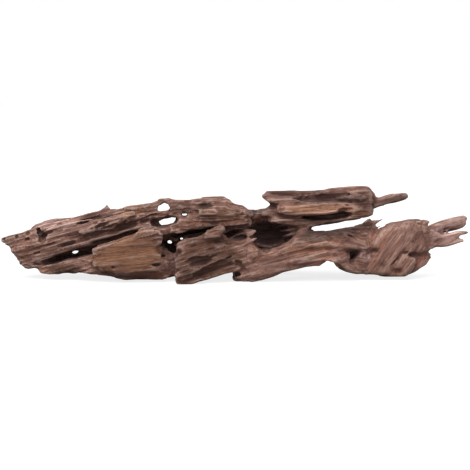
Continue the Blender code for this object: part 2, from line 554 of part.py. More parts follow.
def keep_largest_body(mesh):
    """Drops loose scraps and fills sealed cavities."""
    bm = bmesh.new()
    bm.from_mesh(mesh)
    seen, groups = set(), []
    for start in bm.verts:
        if start in seen:
            continue
        stack, group = [start], []
        seen.add(start)
        while stack:
            vert = stack.pop()
            group.append(vert)
            for edge in vert.link_edges:
                other = edge.other_vert(vert)
                if other not in seen:
                    seen.add(other)
                    stack.append(other)
        groups.append(group)
    groups.sort(key=len)
    for group in groups[:-1]:
        bmesh.ops.delete(bm, geom=group, context="VERTS")
    bm.to_mesh(mesh)
    bm.free()


def part_sheets(bm):
    """Parts sheets that meet in one edge or corner, by a patch over each in place of the meeting."""
    meeting = {vert for edge in bm.edges if len(edge.link_faces) > 2 for vert in edge.verts}
    meeting |= {vert for vert in bm.verts if not vert.is_manifold}
    bmesh.ops.delete(bm, geom=list(meeting), context="VERTS")
    rim = [edge for edge in bm.edges if len(edge.link_faces) == 1]
    bmesh.ops.holes_fill(bm, edges=rim)
    bmesh.ops.triangulate(bm, faces=bm.faces)


def relax_crossings(bm):
    """Smooths the skin where thinning made it cross itself."""
    for _ in range(RELAX_ROUNDS):
        tree = BVHTree.FromBMesh(bm)
        bm.faces.ensure_lookup_table()
        caught = set()
        for a, b in tree.overlap(tree):
            if a >= b:
                continue
            first, second = set(bm.faces[a].verts), set(bm.faces[b].verts)
            if not first & second:
                caught |= first | second
        if not caught:
            return
        bmesh.ops.smooth_vert(bm, verts=sorted(caught, key=lambda vert: vert.index), factor=0.5,
                              use_axis_x=True, use_axis_y=True, use_axis_z=True)
    print("the skin still crosses itself")


def thin_out(obj):
    """Fewer triangles, with the flattest places thinned first."""
    thin = obj.modifiers.new("thin", "DECIMATE")
    thin.ratio = TRIANGLES / (2 * len(obj.data.polygons))
    thin.use_collapse_triangulate = True
    bake(obj)
    bm = bmesh.new()
    bm.from_mesh(obj.data)
    part_sheets(bm)
    bm.verts.index_update()
    relax_crossings(bm)
    bm.to_mesh(obj.data)
    bm.free()


def cut_floor(obj, collection):
    """Flat spots on the lowest points."""
    depth = 40.0            # more than any strand hangs below the floor
    bm = bmesh.new()
    bmesh.ops.create_cube(bm, size=1.0)
    bmesh.ops.scale(bm, vec=(2 * DRAWN_LENGTH, 2 * DRAWN_LENGTH, depth), verts=bm.verts)
    bmesh.ops.translate(bm, vec=(DRAWN_LENGTH / 2, 0, FLOOR - depth / 2), verts=bm.verts)
    mesh_object("floor", bm, collection)
    boolean(obj, "DIFFERENCE", collection)


def wood_material():
    material = bpy.data.materials.new("weathered_wood")
    material.use_nodes = True
    shader = material.node_tree.nodes["Principled BSDF"]
    shader.inputs["Base Color"].default_value = WOOD_COLOUR
    shader.inputs["Roughness"].default_value = 0.82
    shader.inputs["Metallic"].default_value = 0.0
    return material


def set_down(mesh):
    """Scales the drawn millimetres to metres, with the box's bottom centre at the origin."""
    size = MM * LENGTH / DRAWN_LENGTH
    mesh.transform(Matrix.Diagonal((size, size, size, 1)))
    low = Vector(min(v.co[k] for v in mesh.vertices) for k in range(3))
    high = Vector(max(v.co[k] for v in mesh.vertices) for k in range(3))
    middle = (low + high) / 2
    mesh.transform(Matrix.Translation((-middle.x, -middle.y, -low.z)))


def new_collection(name):
    made = bpy.data.collections.new(name)
    bpy.context.scene.collection.children.link(made)
    return made


def build():
    for old in list(bpy.data.objects):
        bpy.data.objects.remove(old)
    names = ("honeycomb_wood", "strands", "hollows")
    finished, strands, hollows = (new_collection(name) for name in names)
    for seed, (name, (lean, rows)) in enumerate(STRANDS.items()):
        strand(name, lean, rows, seed, strands, hollows)
    wood = strands.objects[0]
    strands.objects.unlink(wood)
    finished.objects.link(wood)
    wood.name = "honeycomb_wood"
    wood.display_type = "TEXTURED"
    wood.hide_render = False
    boolean(wood, "UNION", strands)
    gnaw(wood, hollows)
    for seed, (name, row) in enumerate(HOLLOWS.items()):
        hollow(name, row, seed, hollows)
    for seed, (name, row) in enumerate(WINDOWS.items()):
        window(name, row, seed, hollows)
    boolean(wood, "DIFFERENCE", hollows)
    fuse(wood)
    raise_grain(wood.data)
    fuse(wood)
    keep_largest_body(wood.data)
    thin_out(wood)
    cut_floor(wood, hollows)
    set_down(wood.data)
    wood.data.materials.clear()
    wood.data.materials.append(wood_material())


build()
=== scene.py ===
# The finish paints shade into the hollows, grooves and undersides, and highlights on the crests.
# A weathered piece of honeycomb wood, lying on its side.
# The imported solid gives the main shape, and this script works the fine grain, the cracks,
# the torn fibres and the finish into a copy of it.
# Sizes of the wood's own shapes are millimetres, counted right from the left tip, back from
# the middle plane and up from the floor. Those of the camera and the studio are metres.
# Angles are degrees, and climb is the rise to the right.

import itertools
import json
import math
import time

import bmesh
import bpy
import numpy as np
from mathutils import Matrix, Vector
from mathutils.bvhtree import BVHTree

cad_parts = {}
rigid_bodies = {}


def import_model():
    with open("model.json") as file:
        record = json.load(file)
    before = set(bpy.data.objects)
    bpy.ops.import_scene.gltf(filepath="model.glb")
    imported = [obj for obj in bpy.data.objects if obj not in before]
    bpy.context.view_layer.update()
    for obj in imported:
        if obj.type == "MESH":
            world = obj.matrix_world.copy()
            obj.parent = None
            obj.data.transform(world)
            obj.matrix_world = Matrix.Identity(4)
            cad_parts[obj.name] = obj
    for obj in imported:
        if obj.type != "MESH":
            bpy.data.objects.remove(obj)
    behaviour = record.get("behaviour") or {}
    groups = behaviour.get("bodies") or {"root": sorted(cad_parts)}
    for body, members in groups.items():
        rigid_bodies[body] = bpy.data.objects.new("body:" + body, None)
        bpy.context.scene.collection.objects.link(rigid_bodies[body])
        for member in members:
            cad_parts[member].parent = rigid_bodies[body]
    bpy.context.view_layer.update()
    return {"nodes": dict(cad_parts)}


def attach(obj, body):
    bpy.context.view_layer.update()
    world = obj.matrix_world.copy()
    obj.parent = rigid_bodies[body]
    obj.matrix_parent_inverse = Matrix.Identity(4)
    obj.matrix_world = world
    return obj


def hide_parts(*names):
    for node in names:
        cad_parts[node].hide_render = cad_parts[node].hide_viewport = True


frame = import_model()
bpy.ops.object.select_all(action="DESELECT")
scene = bpy.context.scene

mm = 0.001
leftTip = -0.2355      # where the tables' x = 0 lies in the frame
floorDrop = 0.001      # the tables' z = 0 lies this much under the floor

view = {
    "distance": 1.11,
    "elevation": 8.0,
    "aim": (0.0, 0.0, 0.0435),
    "lens": 85.0,
    "sensor": 36.0,        # the width of a new camera's sensor
    "side": 470,           # the side of the square picture that the cuts are placed in
}
tilt = math.radians(view["elevation"])
ahead = Vector((0, math.cos(tilt), -math.sin(tilt)))     # the way the camera looks
cameraPlace = Vector(view["aim"]) - view["distance"] * ahead

started = time.perf_counter()


def report(words):
    print(f"scene: {words}, {time.perf_counter() - started:.0f} s")


def toFrame(x, y, z):
    return Vector((leftTip + x * mm, y * mm, z * mm - floorDrop))


def onlyActive(obj):
    bpy.ops.object.select_all(action="DESELECT")
    obj.select_set(True)
    bpy.context.view_layer.objects.active = obj


def applyAll(obj):
    onlyActive(obj)
    for name in [modifier.name for modifier in obj.modifiers]:
        bpy.ops.object.modifier_apply(modifier=name)


def remesh(obj, cell):
    cells = obj.modifiers.new("cells", "REMESH")
    cells.mode = "VOXEL"
    cells.voxel_size = cell
    applyAll(obj)


def readPoints(mesh):
    flat = np.empty(len(mesh.vertices) * 3, np.float32)
    mesh.vertices.foreach_get("co", flat)
    return flat.reshape(-1, 3).astype(float)


def readNormals(mesh):
    flat = np.empty(len(mesh.vertices) * 3, np.float32)
    mesh.vertex_normals.foreach_get("vector", flat)
    return flat.reshape(-1, 3).astype(float)


def writePoints(mesh, points):
    mesh.vertices.foreach_set("co", points.astype(np.float32).ravel())
    mesh.update()


# Large odd numbers that mix a corner's place and the seed into a key.
mixing = {
    "axes": (73856093, 19349663, 83492791),
    "seed": 668265263,
    "first": 1274126177,
    "second": 461845907,
}
keyBits = 0x7FFFFFFF
valueBits = 0xFFFF


def latticeNoise(points, seed):
    # smooth noise from -1 to 1 at each row of points
    cell = np.floor(points).astype(np.int64)
    part = points - cell
    ease = part * part * (3 - 2 * part)
    total = np.zeros(len(points))
    for corner in itertools.product((0, 1), repeat=3):
        at = (cell + np.array(corner)) * mixing["axes"]
        key = at[:, 0] ^ at[:, 1] ^ at[:, 2] ^ (seed * mixing["seed"])
        key = (key ^ (key >> 13)) * mixing["first"] & keyBits
        key = (key ^ (key >> 15)) * mixing["second"] & keyBits
        value = ((key ^ (key >> 16)) & valueBits) / (valueBits / 2) - 1
        total += value * np.prod(np.where(corner, ease, 1 - ease), axis=1)
    return total


def softStep(value, low, high):
    t = np.clip((value - low) / (high - low), 0, 1)
    return t * t * (3 - 2 * t)


# Each zone has its middle x and z, half its length and height, the y it ends at, the line that its
# grain follows in x and z, and how rough its skin is.
grainZones = {
    "leftWall": (70, 44, 110, 34, 8, ((0, 0), (60, 17), (160, 44)), 0.7),
    "lowerLeft": (70, 14, 50, 14, 8, ((40, 0), (92, 12), (180, 16)), 0.6),
    "plate": (128, 30, 46, 26, -12, ((92, 0), (130, 4), (165, 8)), 0.18),
    "underPlate": (134, 5, 50, 10, 8, ((90, 0), (184, -1)), 0.4),
    "hump": (205, 62, 62, 26, 12, ((150, 0), (180, 6), (253, 8)), 0.7),
    "wall": (215, 26, 48, 34, 4, ((177, 0), (258, 25)), 0.5),
    "limb": (300, 28, 80, 30, 4, ((233, 0), (300, 17), (345, 27), (368, 22)), 0.28),
    "plank": (320, 76, 70, 26, 30, ((260, 0), (375, 8)), 0.35),
    "finger": (392, 78, 26, 14, 30, ((362, 0), (409, 14)), 0.35),
    "knot": (396, 30, 36, 36, 8, None, 0.16),
    "fingers": (450, 46, 34, 26, 30, ((420, 0), (470, 13)), 0.25),
}
grainElsewhere = ((0, 0), (150, 22), (300, 30), (470, 40))
roughElsewhere = 0.9
knotGrain = {"x": 394.0, "z": 30.0, "climb": 55}     # the knot has no line: its grain is straight
zoneEdge = {"ragged": 0.12, "patch": (16, 8, 8), "seed": 3, "least": 0.02}
zoneShift = (37.0, 11.0)     # along and across, so that no two zones read the same noise
climbSpan = 12               # the length over which the climb of a grain line is taken


def rulingZone(table):
    # number of the zone that rules each row, or -1 where none does
    x, y, z = table.T
    jitter = zoneEdge["ragged"] * latticeNoise(table / zoneEdge["patch"], zoneEdge["seed"])
    best = np.full(len(x), zoneEdge["least"])
    ruling = np.full(len(x), -1)
    for number, (x0, z0, halfX, halfZ, back, *_) in enumerate(grainZones.values()):
        weight = 1 - ((x - x0) / halfX) ** 2 - ((z - z0) / halfZ) ** 2 + jitter
        here = (weight > best) & (y <= back)
        ruling[here] = number
        best[here] = weight[here]
    return ruling


def grainCoordinates(table):
    # along, across and through the grain, in mm, for rows of x, y and z in mm
    x, y, z = table.T
    ruling = rulingZone(table)
    lineX, lineZ = np.array(grainElsewhere, float).T
    along, across = x.copy(), z - np.interp(x, lineX, lineZ)
    for number, zone in enumerate(grainZones.values()):
        here = ruling == number
        line = zone[5]
        if line is None:
            lift = math.radians(knotGrain["climb"])
            c, s = math.cos(lift), math.sin(lift)
            along[here] = (x[here] - knotGrain["x"]) * c + (z[here] - knotGrain["z"]) * s
            across[here] = (z[here] - knotGrain["z"]) * c - (x[here] - knotGrain["x"]) * s
        else:
            lineX, lineZ = np.array(line, float).T
            across[here] = z[here] - np.interp(x[here], lineX, lineZ)
        along[here] += zoneShift[0] * number
        across[here] += zoneShift[1] * number
    return np.stack([along, across, y], 1)


def roughShare(table):
    # how strong the relief is at each row
    shares = np.array([zone[6] for zone in grainZones.values()] + [roughElsewhere])
    return shares[rulingZone(table)]     # number -1 takes the last share


def grainClimb(x, y, z):
    # degrees that the grain climbs to the right at one place
    number = rulingZone(np.array([[x, y, z]], float))[0]
    line = grainElsewhere if number < 0 else list(grainZones.values())[number][5]
    if line is None:
        return knotGrain["climb"]
    lineX, lineZ = np.array(line, float).T
    rise = np.interp(x + climbSpan / 2, lineX, lineZ) - np.interp(x - climbSpan / 2, lineX, lineZ)
    return math.degrees(math.atan2(rise, climbSpan))


relief = {
    "slatPitch": 4.4,
    "slatLean": 0.35,              # how far the slats shift for each mm into the wood
    "slatStray": (0.5, 0.07),      # how far they bend, broadly and finely
    "slatHeight": 1.7,
    "slatStrength": (0.6, 0.4),    # the mean and the swing of their height
    "gapDepth": 2.4,
    "gapPlace": (0.95, 0.14),      # where between two slats a gap lies, and half its width
    "gapFade": (-0.15, 0.35),      # noise at which gaps start and are full, and so on below
    "veinDepth": 1.6,
    "veinWidth": 0.16,
    "veinFade": (-0.2, 0.4),
    "ribHeight": 0.9,
    "fibreHeight": 0.35,
    "pitDepth": 1.0,
    "pitFade": (0.55, 0.85),
    "blend": 12,                   # rounds that blend the roughness of two zones
    "floorFade": (0.2, 2.5),       # heights at which the relief starts and is full
}
# How far each layer of the relief's noise is drawn out along, across and through the grain, and
# its seed.
reliefLayers = {
    "broadStray": ((120, 26, 26), 5),
    "fineStray": ((20, 4, 4), 15),
    "strength": ((55, 8, 12), 6),
    "gaps": ((38, 6, 9), 16),
    "veins": ((80, 2.6, 4.5), 7),
    "veinPlaces": ((36, 7, 9), 17),
    "ribs": ((70, 1.7, 2.6), 9),
    "fibres": ((30, 0.9, 1.3), 12),
    "pits": ((20, 2.2, 3.5), 10),
}


def grainRelief(grain):
    # height of the skin over its mean level, in mm
    layers = {}
    for name, (drawn, seed) in reliefLayers.items():
        layers[name] = latticeNoise(grain / drawn, seed)
    broadStray, fineStray = relief["slatStray"]
    stray = broadStray * layers["broadStray"] + fineStray * layers["fineStray"]
    slat = (grain[:, 1] + relief["slatLean"] * grain[:, 2]) / relief["slatPitch"] + stray
    saw = slat - np.floor(slat)
    strength = relief["slatStrength"][0] + relief["slatStrength"][1] * layers["strength"]
    height = relief["slatHeight"] * strength * (0.5 - saw)
    gapMiddle, gapHalf = relief["gapPlace"]
    gap = np.clip(1 - np.abs(saw - gapMiddle) / gapHalf, 0, 1)
    height -= relief["gapDepth"] * gap * softStep(layers["gaps"], *relief["gapFade"])
    vein = np.clip(1 - np.abs(layers["veins"]) / relief["veinWidth"], 0, 1)
    height -= relief["veinDepth"] * vein * softStep(layers["veinPlaces"], *relief["veinFade"])
    height += relief["ribHeight"] * layers["ribs"]
    height += relief["fibreHeight"] * layers["fibres"]
    height -= relief["pitDepth"] * softStep(layers["pits"], *relief["pitFade"])
    return height


skin = {
    "weld": 1e-6,                  # how near points of the solid are to be joined, in metres
    "firstCell": 0.9,              # size of the cells that the solid is remeshed in
    "lastCell": 0.72,              # and after the cuts and the relief
    "faces": 196000,
    "softenRounds": 5,
    "softenSteps": (0.55, -0.57),
    "calmRounds": 14,
    "calmStep": 0.5,
    "calmFade": (0.4, 0.15),       # roughness at which the ironing starts and is full
    "calmBlend": 8,
}

# Cuts that the camera sees: right and down in its picture, then length, height, climb and depth.
cuts = {
    "tipHole": (4.2, 239.6, 4.5, 3.2, 0, 4),
    "tipPitA": (16.8, 236.6, 6.5, 4.4, 5, 4.8),
    "tipPitB": (26.5, 239.4, 9, 3.6, 5, 4.2),
    "tipPitC": (27, 233.4, 8, 4, 8, 3.6),
    "deepPitA": (39.6, 231.4, 10, 5.4, -58, 6),
    "deepPitB": (42.8, 236.4, 11, 9, 30, 11),
    "deepPitC": (42, 240.2, 10, 4.4, 14, 6),
    "slotA": (60, 223.6, 10, 2.2, 12, 3.3),
    "slotB": (83, 222.6, 19, 2.6, 10, 3.8),
    "slotC": (95, 222.6, 6, 3.2, 0, 4.6),
    "slotD": (103, 220.8, 7, 2.2, 20, 3.3),
    "slotE": (105.5, 227.2, 20, 3.2, 17, 4.6),
    "slotF": (123, 222.2, 10, 2.6, 25, 3.8),
    "railGap": (118.5, 209.4, 15, 3.4, 5, 10),
    "furrowA": (67, 244.5, 26, 2.4, 15, 3.6),
    "furrowB": (79, 239, 12, 1.8, 12, 2.7),
    "furrowC": (100, 234, 26, 1.8, 14, 2.7),
    "furrowD": (66, 236.5, 42, 1.5, 12, 2.4),
    "furrowE": (60, 230.5, 36, 1.5, 14, 2.4),
    "furrowF": (88, 229.5, 32, 1.6, 13, 2.5),
    "furrowG": (30, 247, 26, 1.4, 12, 2.2),
    "furrowH": (36, 252.5, 28, 1.4, 11, 2.2),
    "furrowI": (42, 258, 22, 1.4, 9, 2.2),
    "crevice": (120, 239, 58, 4, 15, 16),
    "lowCrevice": (70, 256, 46, 7, 15, 20),
    "strandLine": (62, 268.5, 32, 1.5, 0, 1.8),
    "wallFoot": (36, 264, 22, 1.8, -4, 2.7),
    "platePit": (113.5, 267.6, 6, 2.2, 0, 3.3),
    "plateSlit": (156, 260.6, 13, 1.8, 6, 2.7),
    "plateSlot": (157, 264.8, 15, 3.0, 2, 4.6),
    "plateLineB": (128, 249, 64, 1.2, 6, 2),
    "plateLineC": (130, 254.5, 60, 1.2, 5, 2),
    "plateLineE": (136, 238, 44, 1.2, 9, 2),
    "plateToothA": (164, 235.5, 8, 2, 6, 8),
    "plateToothB": (165, 242, 9, 2, 6, 8),
    "plateToothC": (164, 249, 8, 2.2, 6, 8),
    "plateToothD": (163, 256, 8, 2, 6, 8),
    "humpPatch": (204, 205.4, 20, 3.6, 4, 0.8),
    "humpDent": (194, 212.6, 15, 5, 14, 3),
    "humpBitA": (226, 208.5, 13, 2.2, -10, 3.3),
    "humpBitB": (236, 211, 13, 2.4, -8, 3.5),
    "humpBitC": (243, 214.5, 11, 2.2, 0, 3.3),
    "humpLineA": (222, 223.6, 52, 1.6, 3, 2.5),
    "humpLineB": (210, 219, 50, 1.4, 2, 2.2),
    "underHump": (192, 232, 60, 4.4, 10, 20),
    "overWall": (243, 226, 30, 3.6, 4, 18),
    "recess": (171, 250, 17, 15, 0, 20),
    "eye": (193.3, 245.6, 10, 2.8, 10, 2.2),
    "wallSide": (176.4, 254, 20, 5, 86, 9),
    "ovalTop": (196, 259.5, 26, 6, 14, 3.8),
    "trough": (214, 266, 46, 7, 22, 4.5),
    "tornA": (238, 261.3, 8, 3, 0, 4.3),
    "tornC": (229, 257.3, 11, 2.4, 25, 3.5),
    "pocket": (240, 238, 27, 6, 6, 8),
    "wallLineA": (200, 251.5, 32, 1.4, 14, 2.2),
    "wallLineB": (222, 249, 34, 1.4, 14, 2.2),
    "wallLineC": (234, 253.5, 30, 1.4, 12, 2.2),
    "shardToothA": (257, 231, 10, 1.8, 8, 8),
    "shardToothB": (258, 235, 10, 2, 8, 8),
    "shardToothC": (256, 239.5, 9, 2, 8, 8),
    "greatHollow": (272, 236, 38, 25, 0, 30),
    "mouth": (237.5, 274, 7, 4.6, 0, 8),
    "limbLineA": (290, 250, 52, 1.4, 13, 2.2),
    "limbLineB": (304, 243.5, 50, 1.4, 9, 2.2),
    "limbLineC": (300, 257, 62, 1.4, 13, 2.2),
    "limbLineD": (270, 262.5, 44, 1.4, 11, 2.2),
    "limbLineE": (262, 270, 32, 1.4, 4, 2.2),
    "wave": (330, 248.8, 46, 1.8, 2, 2.4),
    "limbHole": (351.5, 254.5, 12, 7, 62, 6),
    "chipA": (353, 237.5, 16, 3, -25, 4.3),
    "chipB": (354, 232.4, 14, 2.4, 0, 3.5),
    "tipsGap": (361, 245.8, 14, 1.8, 4, 6),
    "knotTriangle": (373.5, 254.6, 14, 3.6, 8, 2.2),
    "knotGroove": (396, 260, 30, 2.0, 46, 3),
    "knotGrooveTop": (414, 240, 26, 1.4, 57, 2),
    "knotWedgeTop": (405, 252.6, 9, 2.6, 15, 3.8),
    "ledgeShadow": (297, 203.2, 23, 1.8, 2, 3),
    "ledgeLine": (345, 205, 26, 1.6, 1, 2.5),
    "lipLine": (318, 223, 60, 1.4, 4, 2.2),
    "fingerLine": (392, 203.6, 26, 1.6, 14, 2.5),
    "bigFingerLine": (448, 228, 32, 1.6, 18, 2.5),
}
# Openings right through the wood, with places and sizes as above, but no depth of their own.
windows = {
    "recessLow": (169.7, 242.2, 6.6, 4.6, -25),
    "recessHigh": (181.7, 238.2, 6.5, 3.0, 12),
    "humpHoleEnd": (172.0, 218.8, 13, 3.2, 12),
    "humpSlitEnd": (184.5, 215.0, 8, 2.4, 0),
    "beakUnder": (266.5, 202.6, 12, 3.0, -38),
    "beakOver": (262.5, 193.4, 9, 2.6, 32),
}
windowDepth = 60.0     # how far their cutters reach before and behind the middle plane

# Splinters and torn fibres that stand out of the wood, and low fills: right and down in the
# picture, the y that they lie at, or None for the skin that the camera sees, then length,
# thickness, height and climb.
splinters = {
    "forkUpper": (375.5, 221.6, 2, 17, 2.8, 2.4, 18),
    "forkLow": (375.0, 228.2, -1, 15, 2.6, 2.0, 20),
    "forkDark": (366.0, 221.6, 0, 13, 2.6, 2.2, 34),
    "plankTip": (366.0, 213.4, 2, 15, 3.0, 2.4, 15),
    "strandTop": (294.0, 224.0, 5, 40, 9.0, 4.4, 6),
    "strandMiddle": (295.0, 229.2, 4, 34, 9.0, 4.4, 8),
    "strandLow": (294.0, 234.0, 3, 26, 9.0, 3.8, 14),
    "tornTop": (251.0, 232.0, None, 13, 4.0, 4.0, 15),
    "tornMiddle": (246.0, 237.2, None, 22, 6.0, 4.4, 28),
    "tornLow": (250.0, 241.5, None, 18, 5.0, 3.6, 26),
    "plateFringeA": (90.5, 252.6, -16, 9, 2.6, 2.0, 5),
    "plateFringeB": (90.8, 257.2, -16, 9, 2.6, 2.0, 3),
    "plateFringeC": (91.5, 261.6, -18, 9, 2.6, 2.0, -2),
    "troughRib": (351.0, 197.6, None, 34, 8.0, 9.0, 0),
    "troughEnd": (357.0, 197.6, None, 22, 9.0, 9.0, 0),
    "ledgeFill": (328.0, 216.4, None, 56, 9.0, 4.4, 3),
    "ledgeFillEnd": (343.0, 215.4, None, 32, 8.0, 4.4, 5),
    "wedgeFill": (374.0, 254.8, None, 16, 5.0, 6.0, 8),
    "kneeFill": (362.0, 253.0, None, 17, 11.0, 10.0, 62),
}
# Thin furrows all round, drawn at random.
gnaws = {
    "count": 230,
    "seed": 11,
    "x": (4, 466),
    "y": (-25, 30),
    "z": (2, 92),
    "reach": 0.2,            # how far off the look towards the wood starts, in metres
    "endOn": 0.7,            # faces that look further than this to the left or right get none
    "lowest": 0.002,         # nor does anything this near the floor, in metres
    "long": (14, 48),
    "high": (0.9, 2.0),
    "deep": (1.0, 3.2),
    "leastWood": 5.0,
    "leastRough": 0.4,
}
woodShare = 0.6              # cuts and gnaws take no more than this of the wood that they meet
pastSkin = 0.5 * mm          # how far under the skin the wood's thickness is taken from
# How ragged each kind of gouge is, and the seed of its first one.
raggedness = {
    "cuts": (0.45, 1),
    "windows": (0.3, 100),
    "splinters": (0.3, 140),
    "gnaws": (0.5, 200),
}
gougeShape = {
    "fullness": 1.6,         # a higher number keeps the middle thick for longer
    "ends": 0.35,            # a higher number draws the ends out to finer points
    "thinnest": 0.05,
    "patch": (3.5, 3.0, 2.0),
    "shift": 17.3,           # moves each gouge to another part of the noise
}


def copyOfSolid(node, name):
    mesh = frame["nodes"][node].data.copy()
    made = bpy.data.objects.new(name, mesh)
    scene.collection.objects.link(made)
    bm = bmesh.new()
    bm.from_mesh(mesh)
    bmesh.ops.remove_doubles(bm, verts=bm.verts, dist=skin["weld"])
    bm.to_mesh(mesh)
    bm.free()
    return made


def edgePairs(mesh):
    flat = np.empty(len(mesh.edges) * 2, np.int32)
    mesh.edges.foreach_get("vertices", flat)
    return flat.reshape(-1, 2)


def neighbourMean(values, pairs):
    count = np.bincount(pairs.ravel(), minlength=len(values)).astype(float)
    total = np.stack([np.bincount(pairs[:, 0], column[pairs[:, 1]], len(values))
                      + np.bincount(pairs[:, 1], column[pairs[:, 0]], len(values))
                      for column in values.reshape(len(values), -1).T], 1)
    return (total / count[:, None]).reshape(values.shape)


def spread(values, pairs, rounds):
    # values averaged over the neighbours, several times
    for _ in range(rounds):
        values = 0.5 * values + 0.5 * neighbourMean(values, pairs)
    return values


def softenFacets(mesh):
    # smooths without shrinking: a step in, then a slightly longer step out
    points, pairs = readPoints(mesh), edgePairs(mesh)
    for step in skin["softenSteps"] * skin["softenRounds"]:
        points += step * (neighbourMean(points, pairs) - points)
    writePoints(mesh, points)


def calmSkin(mesh):
    # irons the broad ribs out of the zones whose skin is smooth
    points, pairs = readPoints(mesh), edgePairs(mesh)
    share = softStep(roughShare(tablePoints(points)), *skin["calmFade"])
    share = spread(share, pairs, skin["calmBlend"])[:, None]
    for _ in range(skin["calmRounds"]):
        points += skin["calmStep"] * share * (neighbourMean(points, pairs) - points)
    writePoints(mesh, points)


def tablePoints(points):
    # the tables' millimetres for points in the frame
    return (points - (leftTip, 0, -floorDrop)) / mm


def sightLine(right, down):
    # direction from the camera through a place in its picture
    up = Vector((0, math.sin(tilt), math.cos(tilt)))
    middle = view["side"] / 2
    side = (right - middle) / view["side"] * view["sensor"] / view["lens"]
    rise = (middle - down) / view["side"] * view["sensor"] / view["lens"]
    return (ahead + side * Vector((1, 0, 0)) + rise * up).normalized()


def makeGouge():
    bpy.ops.mesh.primitive_ico_sphere_add(subdivisions=3, radius=0.5, location=(0, 0, 0))
    gouge = bpy.context.object
    gouge.name = "gouge"
    points = readPoints(gouge.data)
    slim = (1 - (2 * np.abs(points[:, 0])) ** gougeShape["fullness"]) ** gougeShape["ends"]
    points[:, 1:] *= np.clip(slim, gougeShape["thinnest"], 1)[:, None]
    writePoints(gouge.data, points)
    return gouge


def placeGouge(gouge, place, size, kind, number, cutters):
    # a ragged copy of the gouge: length along the grain, depth into the wood and height
    mesh = gouge.data.copy()
    points = readPoints(mesh) * np.array(size)
    rough, firstSeed = raggedness[kind]
    seed = firstSeed + number
    noise = latticeNoise(points / gougeShape["patch"] + gougeShape["shift"] * seed, seed)
    ragged = 1 + rough * noise
    points[:, 1] *= ragged
    points[:, 2] *= ragged
    turned = points @ np.array(place.to_3x3()).T * mm + np.array(place.translation)
    writePoints(mesh, turned)
    made = bpy.data.objects.new("cutter", mesh)
    cutters.objects.link(made)


def frameOf(along, inward, spot):
    along = (along - inward * along.dot(inward)).normalized()
    place = Matrix((along, inward, along.cross(inward))).transposed().to_4x4()
    place.translation = spot
    return place


def alongAt(climb):
    lift = math.radians(climb)
    return Vector((math.cos(lift), 0, math.sin(lift)))


def seenCuts(gouge, tree, cutters):
    for number, (right, down, length, height, climb, depth) in enumerate(cuts.values()):
        ray = sightLine(right, down)
        spot = tree.ray_cast(cameraPlace, ray)[0]
        if spot is None:
            continue
        thick = tree.ray_cast(spot + pastSkin * ray, ray)[3]
        if thick is not None:
            depth = min(depth, woodShare * thick / mm)
        place = frameOf(alongAt(climb), ray, spot)
        placeGouge(gouge, place, (length, 2 * depth, height), "cuts", number, cutters)


def crossingOf(ray, back):
    # where a sight line meets the upright plane at this y
    return cameraPlace + ray * ((back * mm - cameraPlace.y) / ray.y)


def openWindows(gouge, cutters):
    for number, (right, down, length, height, climb) in enumerate(windows.values()):
        ray = sightLine(right, down)
        place = frameOf(alongAt(climb), ray, crossingOf(ray, 0))
        placeGouge(gouge, place, (length, 2 * windowDepth, height), "windows", number, cutters)


def growSplinters(gouge, tree, slivers):
    for number, row in enumerate(splinters.values()):
        right, down, back, length, thick, height, climb = row
        ray = sightLine(right, down)
        spot = tree.ray_cast(cameraPlace, ray)[0] if back is None else crossingOf(ray, back)
        place = frameOf(alongAt(climb), ray, spot)
        placeGouge(gouge, place, (length, thick, height), "splinters", number, slivers)


def gnawAllRound(gouge, tree, cutters):
    draw = np.random.default_rng(gnaws["seed"])
    made = 0
    while made < gnaws["count"]:
        x, z = draw.uniform(*gnaws["x"]), draw.uniform(*gnaws["z"])
        turn = draw.uniform(0, 2 * math.pi)
        ray = Vector((0, math.sin(turn), math.cos(turn)))
        target = toFrame(x, draw.uniform(*gnaws["y"]), z)
        spot, normal, _, _ = tree.ray_cast(target + gnaws["reach"] * ray, -ray)
        if spot is None or abs(normal.x) > gnaws["endOn"] or spot.z < gnaws["lowest"]:
            continue
        thick = tree.ray_cast(spot - pastSkin * normal, -normal)[3]
        if thick is None or thick < gnaws["leastWood"] * mm:
            continue
        place = tablePoints(np.array([spot]))
        if roughShare(place)[0] < gnaws["leastRough"]:
            continue
        along = alongAt(grainClimb(*place[0]))
        depth = min(draw.uniform(*gnaws["deep"]), woodShare * thick / mm)
        size = (draw.uniform(*gnaws["long"]), 2 * depth, draw.uniform(*gnaws["high"]))
        placeGouge(gouge, frameOf(along, -normal, spot), size, "gnaws", made, cutters)
        made += 1


def newGroup(name):
    group = bpy.data.collections.new(name)
    scene.collection.children.link(group)
    return group


def combine(obj, group, operation):
    # joins the group's objects to the wood or cuts them away, and drops the group
    work = obj.modifiers.new("work", "BOOLEAN")
    work.operation = operation
    work.operand_type = "COLLECTION"
    work.collection = group
    work.solver = "MANIFOLD"
    applyAll(obj)
    for part in list(group.objects):
        bpy.data.objects.remove(part)
    bpy.data.collections.remove(group)


def workGrain(obj):
    mesh = obj.data
    points, normals = readPoints(mesh), readNormals(mesh)
    table = tablePoints(points)
    height = grainRelief(grainCoordinates(table))
    height *= spread(roughShare(table), edgePairs(mesh), relief["blend"])
    height *= softStep(points[:, 2] / mm, *relief["floorFade"])
    writePoints(mesh, points + normals * (height * mm)[:, None])


